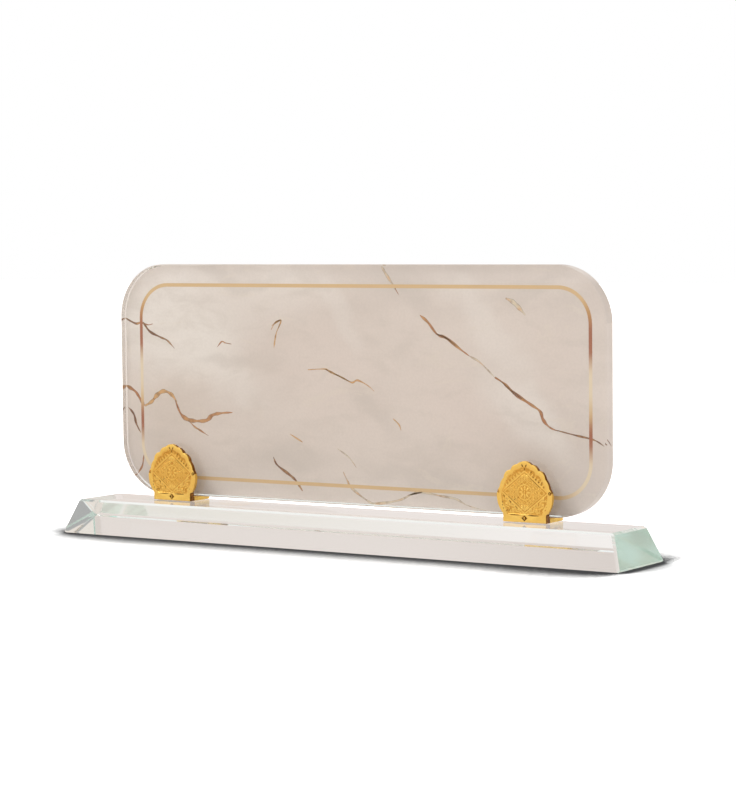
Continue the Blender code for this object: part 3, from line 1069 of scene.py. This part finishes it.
def relief_strands(field):
    """The field's whole ornament: rosette, lozenge and lattice, buds, a row of curls and running scrolls."""
    rosette = Vector((0.0, frame_level))
    top, foot, side_tip = Vector(frame_top), Vector(frame_foot), Vector(frame_side)
    on_middle = [ring(rosette, 3.15, 0.17), knob(rosette, 0.6)]
    on_middle += [leaf(rosette + heading(a) * 0.85, a, 2.0, 0, 0.34) for a in range(0, 360, 45)]
    on_middle += [knob(rosette + heading(a) * 2.55, 0.2) for a in range(22, 382, 45)]
    for centre, out in ((top, -90), (foot, 90)):
        start = centre + heading(out) * 1.3
        on_middle.append(leaf(start, out, 2.6, 0, 0.36))
        on_middle.append(knob(start + heading(out) * 3.1, 0.24))
    strands = []
    for drawn, thick in ((0.0, 0.21), (1.25, 0.14)):
        start, end = foot + Vector((0, drawn)), top - Vector((0, drawn))
        corner = side_tip - Vector((drawn * 1.15, 0))
        strands += [straight(start, corner, thick), straight(corner, end, thick)]
    strands += diaper(rosette, 9.4, 7.4, 7, 3.2)
    for turn, length, thick in ((26, 2.2, 0.30), (50, 1.7, 0.26)):
        across, inward = 0.3 + turn / 90, 1.35 + turn / 120
        strands.append(leaf(top + Vector((across, -inward)), -90 + turn, length, 14, thick))
        strands.append(leaf(foot + Vector((across, inward)), 90 - turn, length, -14, thick))
    edge = side_tip - top
    outward = Vector((-edge.y, edge.x)).normalized()
    for step in range(7):
        share = 0.13 + 0.115 * step
        width = 0.72 + 0.55 * math.sin(math.pi * share)
        place = top + edge * share + outward * 0.42
        strands.append(curl(place, 48, 0.30 + 0.16 * math.sin(math.pi * share), -1, 0.16, 1.15))
        strands.append(leaf(place + edge.normalized() * 0.62 + outward * 0.1, 62, width * 1.25, -26, 0.2))
        strands.append(knob(place + outward * (width + 0.35) + edge.normalized() * 0.1, 0.15))
    slope = (side_tip - foot).normalized()
    below = Vector((slope.y, -slope.x))
    for offset, bay, lead in ((1.25, 1.9, -0.6), (3.2, 2.0, -2.4), (5.1, 1.9, -3.6)):
        begin = foot + below * offset - slope * lead
        strands += scroll_row(begin, side_tip + below * offset, bay, 0.42, field)
    mirrored = [([Vector((-point.x, point.y)) for point in points], radii) for points, radii in strands]
    return on_middle + strands + mirrored


def rim_strands():
    """What stands in the pockets of the rim and the foot: one small knob each."""
    rings = [knob((way * rim_ring_x, frame_level), 0.34) for way in (1, -1)]
    return [knob((0, foot_diamond_z), 0.5)] + rings


def clamp_relief(side, body, ground, field):
    """The relief as round strands half sunk in the field and in the rim's pockets, joined to the casting."""
    curve = bpy.data.curves.new(f"{side}_relief", "CURVE")
    curve.dimensions = "3D"
    curve.bevel_depth = mm
    curve.bevel_resolution = 1
    curve.use_fill_caps = True
    front_plane = ground[1] - field_sink / relief_flatness
    for plane_y, strands in ((ground[1], relief_strands(field)), (front_plane, rim_strands())):
        for points, radii in strands:
            spline = curve.splines.new("POLY")
            spline.points.add(len(points) - 1)
            for knot, point, radius in zip(spline.points, points, radii):
                knot.co = (ground[0] + point.x * mm, plane_y, ground[2] + point.y * mm, 1)
                knot.radius = radius * relief_weight
    curve.materials.append(cast_gold)
    relief = add_object(f"{side}_relief", curve)
    make_active(relief)
    bpy.ops.object.convert(target="MESH")
    for vertex in relief.data.vertices:
        vertex.co.y = ground[1] + (vertex.co.y - ground[1]) * relief_flatness
    smooth_by_angle(relief, 60)
    join_to(body, [relief])


# Camera, floor and light


def add_camera():
    """The camera, turned about the upright, tilted and then rolled."""
    ahead = Vector((
        -math.sin(camera_turn) * math.cos(camera_tilt),
        math.cos(camera_turn) * math.cos(camera_tilt),
        math.sin(camera_tilt),
    ))
    level_right = Vector((math.cos(camera_turn), math.sin(camera_turn), 0.0))
    level_up = level_right.cross(ahead)
    right = level_right * math.cos(camera_roll) + level_up * math.sin(camera_roll)
    up = level_up * math.cos(camera_roll) - level_right * math.sin(camera_roll)
    data = bpy.data.cameras.new("camera")
    data.sensor_width = sensor_mm
    data.lens = sensor_mm * camera_focal_px / photo_height_px
    data.clip_start = 0.01
    camera = add_object("camera", data)
    camera.matrix_world = Matrix((
        (right.x, up.x, -ahead.x, camera_place[0]),
        (right.y, up.y, -ahead.y, camera_place[1]),
        (right.z, up.z, -ahead.z, camera_place[2]),
        (0, 0, 0, 1),
    ))
    bpy.context.scene.camera = camera


def add_floor():
    """A white table. The camera sees it white up to the shadow, which deepens where the bar meets it."""
    deselect_all()
    bpy.ops.mesh.primitive_plane_add(size=floor_size, location=(0, 0, -floor_drop))
    floor = bpy.context.object
    floor.name = "floor"
    apply_place(floor)
    material, nodes, shader, output = new_material("pale_floor")
    nodes.fill(shader, {"Base Color": (0.80, 0.80, 0.80, 1), "Roughness": 0.9})
    light_path = nodes.add("ShaderNodeLightPath")

    occlusion = nodes.add("ShaderNodeAmbientOcclusion", {"Distance": contact_reach}, samples=12)
    along, _, _ = nodes.axes(nodes.object_place())
    wider = nodes.spread(along, shadow_widens_from, shadow_widens_to, 1.0, shadow_widening)
    past_end = nodes.spread(along, bar_end_from, bar_end_to, 1.0, shadow_past_bar_end)
    closed = nodes.math("MULTIPLY", nodes.math("SUBTRACT", 1.0, occlusion.outputs["AO"]), wider)
    openness = nodes.math("SUBTRACT", 1.0, nodes.math("MULTIPLY", closed, past_end))
    white = (floor_white, floor_white, floor_white, 1)
    shaded = nodes.mix(1.0, nodes.ramp(openness, contact_stops), white, "MULTIPLY")
    seen = nodes.add("ShaderNodeBsdfDiffuse", {"Color": shaded})

    # Painted light: rays from glass and metal see the floor glow instead of being lit, dimmer and rosier to
    # the left
    rosy, pale = (0.82, 0.73, 0.665, 1), (0.94, 0.875, 0.855, 1)
    tone = nodes.blend(along, -140 * mm, 130 * mm, rosy, pale)
    mirrored = nodes.add("ShaderNodeEmission", {"Color": tone})

    in_glass = nodes.seen_in_glass(light_path)
    lit = nodes.mix_shaders(in_glass, shader.outputs["BSDF"], mirrored.outputs["Emission"])
    surface = nodes.mix_shaders(light_path.outputs["Is Camera Ray"], lit, seen.outputs["BSDF"])
    nodes.fill(output, {"Surface": surface})
    dress(floor, material)


def add_world():
    """White behind the object, even light all round, and a room that glass and metal mirror."""
    world = bpy.data.worlds.new("studio")
    bpy.context.scene.world = world
    world.use_nodes = True
    world.node_tree.nodes.clear()
    nodes = Nodes(world.node_tree)
    light_path = nodes.add("ShaderNodeLightPath")
    across, ahead, height = nodes.axes(nodes.add("ShaderNodeTexCoord").outputs["Generated"])
    rose, dim_rose, bright = (0.80, 0.71, 0.675, 1), (0.705, 0.618, 0.581, 1), (0.95, 0.93, 0.91, 1)
    white, grey, dark_grey = (0.95, 0.95, 0.95, 1), (0.55, 0.54, 0.53, 1), (0.40, 0.395, 0.39, 1)
    ceiling = (0.94, 0.93, 0.92, 1)
    low_wall = nodes.blend(across, -0.54, -0.45, rose, dim_rose)
    left_wall = nodes.blend(height, 0.14, 0.34, low_wall, bright)
    sides = nodes.blend(across, -0.25, 0.25, left_wall, dark_grey)
    front = nodes.blend(across, -0.1, 0.7, white, grey)
    walls = nodes.blend(ahead, -0.25, 0.20, front, sides)
    room = nodes.blend(height, 0.52, 0.68, walls, ceiling)
    light = (world_light, world_light, world_light, 1)
    plain = nodes.mix(light_path.outputs["Is Camera Ray"], light, (1, 1, 1, 1))
    all_round = nodes.mix(nodes.seen_in_glass(light_path), plain, room)
    background = nodes.add("ShaderNodeBackground", {"Color": all_round})
    nodes.add("ShaderNodeOutputWorld", {"Surface": background.outputs["Background"]})


def add_softbox(name, place, size, power, mirrored):
    """A square lamp aimed at the part. It doesn't show through glass, and in metal only if mirrored."""
    data = bpy.data.lights.new(name, "AREA")
    data.shape = "SQUARE"
    data.size = size
    data.energy = power
    light = add_object(name, data)
    light.location = place
    light.rotation_euler = (Vector(lamp_aim) - Vector(place)).to_track_quat("-Z", "Y").to_euler()
    light.visible_transmission = False
    light.visible_glossy = mirrored


# Put it together

add_camera()
add_world()
add_floor()
add_softbox("key", place=(-0.85, -0.80, 1.35), size=0.7, power=10.5, mirrored=True)
add_softbox("fill", place=(1.0, -0.7, 0.8), size=0.6, power=3.6, mirrored=False)

glass_panel()
marble_film()
border_line()
marble_veins()

clamp_front_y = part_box("left_clamp")[0][1]
cast_gold = cast_gold_material(clamp_front_y)
# Painted shade for the casting's shaded walls, grooves and the ledge under the field
gold_in_painted_shade = gold_painted_shade_material()
for side in ("left", "right"):
    casting, ground, field = clamp_casting(side)
    clamp_relief(side, casting, ground, field)

clear, bar_shadow = (1.0, 1.0, 1.0, 1), (0.9, 0.93, 0.92, 1)
bar_glass = glass_material("bar_glass", clear, srgb(205, 236, 224), 3.2, bar_shadow)
grind_the_bar(bar_glass)
dress(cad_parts["glass_base"], bar_glass)
silicone = soft_clear_material("clear_silicone", srgb(236, 238, 238), 0.25)
bond_gel = soft_clear_material("bond_gel", srgb(232, 234, 230), 0.12)
for side in ("left", "right"):
    for place in ("front", "back"):
        dress(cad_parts[f"{side}_{place}_cushion"], silicone)
    dress(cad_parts[f"{side}_bond_pad"], bond_gel)

bpy.context.scene.view_settings.view_transform = "Standard"
bpy.context.scene.cycles.max_bounces = 160
bpy.context.scene.cycles.transmission_bounces = 160
bpy.context.scene.cycles.glossy_bounces = 64
